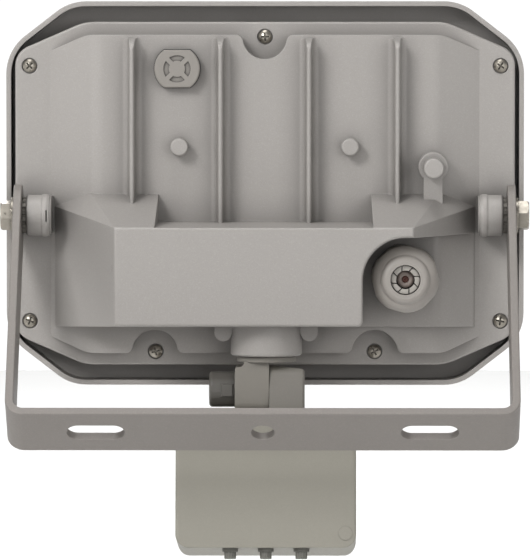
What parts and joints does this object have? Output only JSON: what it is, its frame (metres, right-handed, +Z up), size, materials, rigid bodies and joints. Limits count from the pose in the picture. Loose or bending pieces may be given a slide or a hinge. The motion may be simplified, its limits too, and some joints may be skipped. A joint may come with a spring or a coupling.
{
  "type": "motion sensor floodlight",
  "caption": "Wall-mounted LED floodlight with a cast ribbed housing on a bent U bracket, and an adjustable passive-infrared motion sensor head hung under it.",
  "frame": {"origin": "centre of the bracket's middle hole, on the face that meets the wall", "axes": "+Z up with the lamp upright, +Y away from the light beam, towards the bracket's base; +X to the viewer's left when the back of the lamp is seen"},
  "size_m": [0.1948, 0.0993, 0.2052],
  "materials": {
    "painted_casting": "fine-textured powder coat",
    "painted_bracket": "fine-textured powder coat",
    "window_glass": "clear toughened glass",
    "gasket_rubber": "matt silicone rubber",
    "reflector_sheet": "bright anodised sheet",
    "led_board_white": "white solder mask on an aluminium core",
    "led_phosphor": "yellow phosphor resin",
    "aluminium_sheet": "mill finish",
    "plated_steel": "zinc or nickel plated",
    "vent_plastic": "moulded nylon",
    "vent_fabric": "breathable film",
    "circuit_board": "green solder mask",
    "ferrite": "sintered ferrite, tape wrapped",
    "capacitor_sleeve": "shrink sleeve",
    "terminal_plastic": "moulded",
    "gland_plastic": "moulded nylon",
    "claw_plastic": "moulded nylon",
    "stem_plastic": "moulded",
    "nut_plastic": "moulded",
    "knob_plastic": "moulded, satin",
    "head_plastic": "moulded, fine grain",
    "lens_plastic": "milky polythene",
    "sensor_can": "plated can",
    "cell_resin": "clear resin",
    "relay_case": "moulded",
    "trimmer_case": "moulded",
    "dial_plastic": "moulded"
  },
  "bodies": {
    "bracket": {"bracket": "painted_bracket"},
    "lamp": {"front_frame": "painted_casting", "rear_housing": "painted_casting", "front_glass": "window_glass", "glass_gasket": "gasket_rubber", "vent_o_ring": "gasket_rubber", "gland_washer": "gasket_rubber", "gland_seal": "gasket_rubber", "reflector": "reflector_sheet", "led_board": "led_board_white", "led_chips": "led_phosphor", "mounting_plate": "aluminium_sheet", "housing_screws": "plated_steel", "led_board_screws": "plated_steel", "driver_screws": "plated_steel", "terminal_screws": "plated_steel", "pivot_bolt_left": "plated_steel", "pivot_bolt_right": "plated_steel", "pivot_washer_left": "plated_steel", "pivot_washer_right": "plated_steel", "lock_washer_left": "plated_steel", "lock_washer_right": "plated_steel", "vent_cap": "vent_plastic", "vent_membrane": "vent_fabric", "driver_board": "circuit_board", "driver_transformer": "ferrite", "driver_capacitors": "capacitor_sleeve", "terminal_block": "terminal_plastic", "gland_body": "gland_plastic", "gland_nut": "gland_plastic", "gland_locknut": "gland_plastic", "gland_claw": "claw_plastic"},
    "stem": {"swivel_stem": "stem_plastic", "stem_o_ring": "gasket_rubber", "stem_washer": "plated_steel", "stem_nut": "nut_plastic", "hinge_bolt": "plated_steel"},
    "clamp_knob": {"clamp_knob": "knob_plastic"},
    "sensor_head": {"sensor_rear_shell": "head_plastic", "sensor_front_shell": "head_plastic", "sensor_lens": "lens_plastic", "sensor_board": "circuit_board", "sensor_board_screws": "plated_steel", "pir_element": "sensor_can", "light_cell": "cell_resin", "sensor_relay": "relay_case", "potentiometers": "trimmer_case"},
    "time_dial": {"time_dial": "dial_plastic"},
    "dusk_dial": {"dusk_dial": "dial_plastic"},
    "range_dial": {"range_dial": "dial_plastic"}
  },
  "joints": [
    {"name": "lamp_tilt", "type": "hinge", "parent": "bracket", "child": "lamp", "pos_m": [0, -0.06331, 0.07546], "axis": [1, 0, 0], "range_deg": [-135, 5]},
    {"name": "sensor_swivel", "type": "hinge", "parent": "lamp", "child": "stem", "pos_m": [-0.0007, -0.05481, 0.02436], "axis": [0, 0, 1], "range_deg": [-90, 90]},
    {"name": "sensor_tilt", "type": "hinge", "parent": "stem", "child": "sensor_head", "pos_m": [-0.0007, -0.05481, 0.01176], "axis": [1, 0, 0], "range_deg": [-32, 28]},
    {"name": "clamp_knob_turn", "type": "hinge", "parent": "stem", "child": "clamp_knob", "pos_m": [-0.0007, -0.05481, 0.01176], "axis": [1, 0, 0], "range_deg": [-180, 0]},
    {"name": "time_dial_turn", "type": "hinge", "parent": "sensor_head", "child": "time_dial", "pos_m": [0.0123, -0.0353, -0.04528], "axis": [0, -0.1788, 0.9839], "range_deg": [-135, 135]},
    {"name": "dusk_dial_turn", "type": "hinge", "parent": "sensor_head", "child": "dusk_dial", "pos_m": [-0.0007, -0.0353, -0.04528], "axis": [0, -0.1788, 0.9839], "range_deg": [-135, 135]},
    {"name": "range_dial_turn", "type": "hinge", "parent": "sensor_head", "child": "range_dial", "pos_m": [-0.0137, -0.0353, -0.04528], "axis": [0, -0.1788, 0.9839], "range_deg": [-135, 135]}
  ]
}
